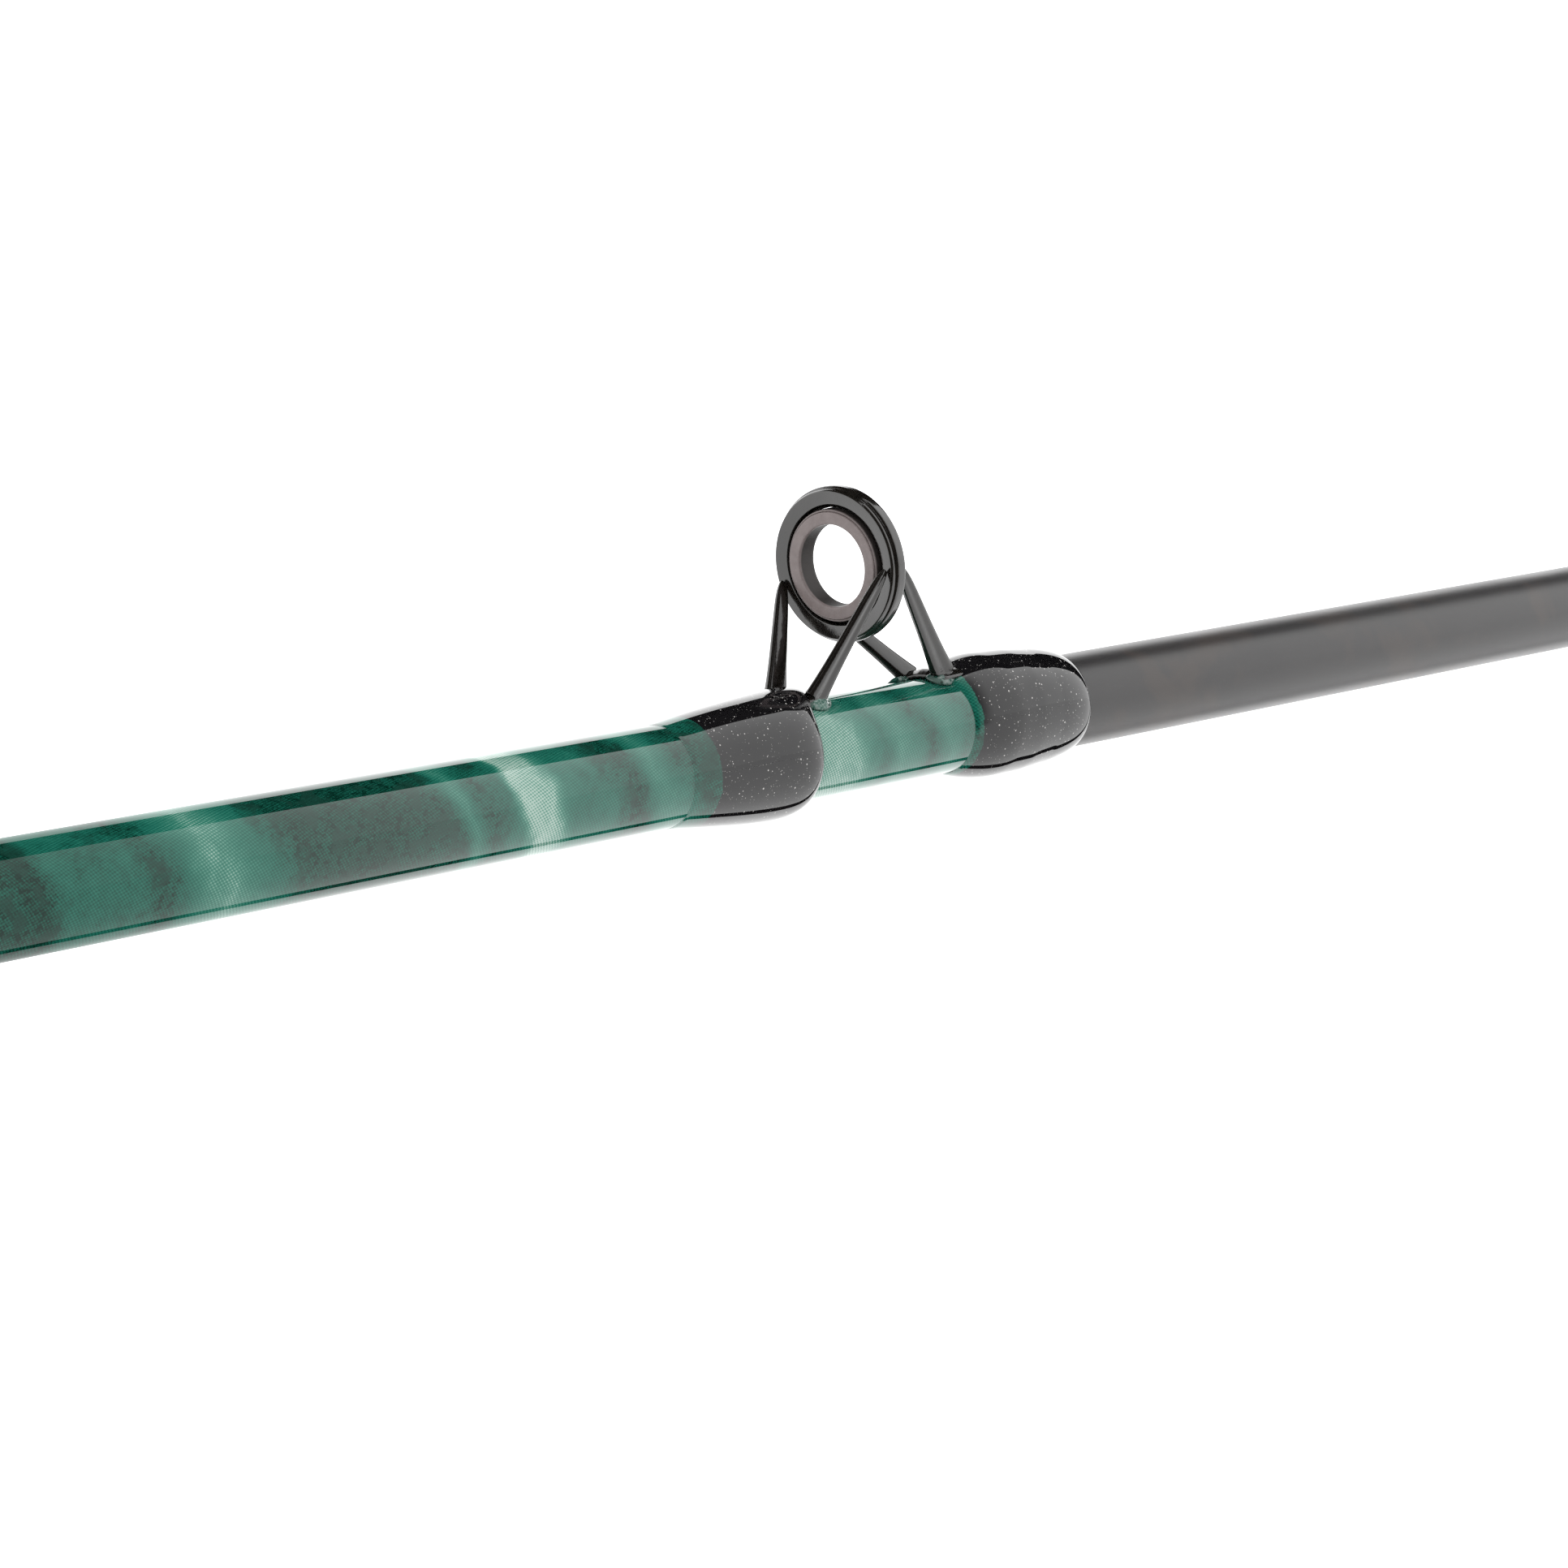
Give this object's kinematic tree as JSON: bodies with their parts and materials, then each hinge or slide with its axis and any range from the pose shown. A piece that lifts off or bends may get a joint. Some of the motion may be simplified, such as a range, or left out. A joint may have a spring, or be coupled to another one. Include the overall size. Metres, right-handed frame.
{
  "type": "fishing rod",
  "caption": "Take-apart casting rod: foam handle with a screw-locking reel seat, tapered blank with a marbled green sleeve, double-foot ring guides and a tip-top.",
  "frame": {"origin": "centre of the butt cap's end face, on the rod's axis", "axes": "+X along the rod from butt to tip, +Z towards the guides and the reel seat's flat"},
  "size_m": [1.8, 0.031, 0.051],
  "materials": {
    "blank_composite": "satin charcoal glass and carbon composite",
    "marbled_fabric": "marbled green twill under a clear gloss coat",
    "winding_thread": "fine black thread filled with clear epoxy",
    "clear_epoxy": "thick clear gloss coat",
    "guide_metal": "gloss black coated steel",
    "ceramic_ring": "polished taupe ceramic",
    "grip_foam": "ground closed-cell foam",
    "rubber": "moulded rubber",
    "seat_resin": "moulded graphite-filled resin",
    "hood_steel": "polished stainless steel",
    "anodised_metal": "green anodised",
    "arbor_foam": "rigid foam"
  },
  "bodies": {
    "butt_section": {"butt_cap": "rubber", "rear_grip": "grip_foam", "rear_trim_ring": "anodised_metal", "reel_seat_body": "seat_resin", "rear_seat_arbor": "arbor_foam", "front_seat_arbor": "arbor_foam", "fixed_hood": "hood_steel", "front_trim_ring": "anodised_metal", "foregrip": "grip_foam", "winding_check": "anodised_metal", "butt_section_blank": "blank_composite", "fabric_sleeve": "marbled_fabric", "hook_keeper_plate": "hood_steel", "hook_keeper_rear_wrap": "winding_thread", "hook_keeper_front_wrap": "winding_thread", "ferrule_stop_wrap": "winding_thread", "stripper_guide_frame": "guide_metal", "stripper_guide_insert": "ceramic_ring", "stripper_guide_rear_wrap": "winding_thread", "stripper_guide_front_wrap": "winding_thread", "stripper_guide_rear_coat": "clear_epoxy", "stripper_guide_front_coat": "clear_epoxy", "second_guide_frame": "guide_metal", "second_guide_insert": "ceramic_ring", "second_guide_rear_wrap": "winding_thread", "second_guide_front_wrap": "winding_thread"},
    "sliding_hood": {"sliding_hood": "hood_steel"},
    "lock_nut": {"lock_nut": "anodised_metal"},
    "keeper_loop": {"hook_keeper_loop": "hood_steel"},
    "tip_section": {"tip_section_blank": "blank_composite", "ferrule_socket_wrap": "winding_thread", "third_guide_frame": "guide_metal", "third_guide_insert": "ceramic_ring", "third_guide_rear_wrap": "winding_thread", "third_guide_front_wrap": "winding_thread", "fourth_guide_frame": "guide_metal", "fourth_guide_insert": "ceramic_ring", "fourth_guide_rear_wrap": "winding_thread", "fourth_guide_front_wrap": "winding_thread", "fifth_guide_frame": "guide_metal", "fifth_guide_insert": "ceramic_ring", "fifth_guide_rear_wrap": "winding_thread", "fifth_guide_front_wrap": "winding_thread", "sixth_guide_frame": "guide_metal", "sixth_guide_insert": "ceramic_ring", "sixth_guide_rear_wrap": "winding_thread", "sixth_guide_front_wrap": "winding_thread", "tip_top_frame": "guide_metal", "tip_top_insert": "ceramic_ring", "tip_top_wrap": "winding_thread"}
  },
  "joints": [
    {"name": "hood_slide", "type": "slide", "parent": "butt_section", "child": "sliding_hood", "axis": [1, 0, 0], "range_m": [0, 0.024]},
    {"name": "lock_nut_turn", "type": "hinge", "parent": "sliding_hood", "child": "lock_nut", "pos_m": [0.309, 0, 0], "axis": [1, 0, 0], "range_deg": [0, 4320]},
    {"name": "keeper_fold", "type": "hinge", "parent": "butt_section", "child": "keeper_loop", "pos_m": [0.6, 0, -0.00984], "axis": [0, -1, 0], "range_deg": [0, 150]},
    {"name": "tip_section_slide", "type": "slide", "parent": "butt_section", "child": "tip_section", "axis": [1, 0, 0], "range_m": [0, 0.075]}
  ],
  "couplings": [
    {"joint": "lock_nut_turn", "follows": "hood_slide", "rad_per_m": 3141.6}
  ]
}
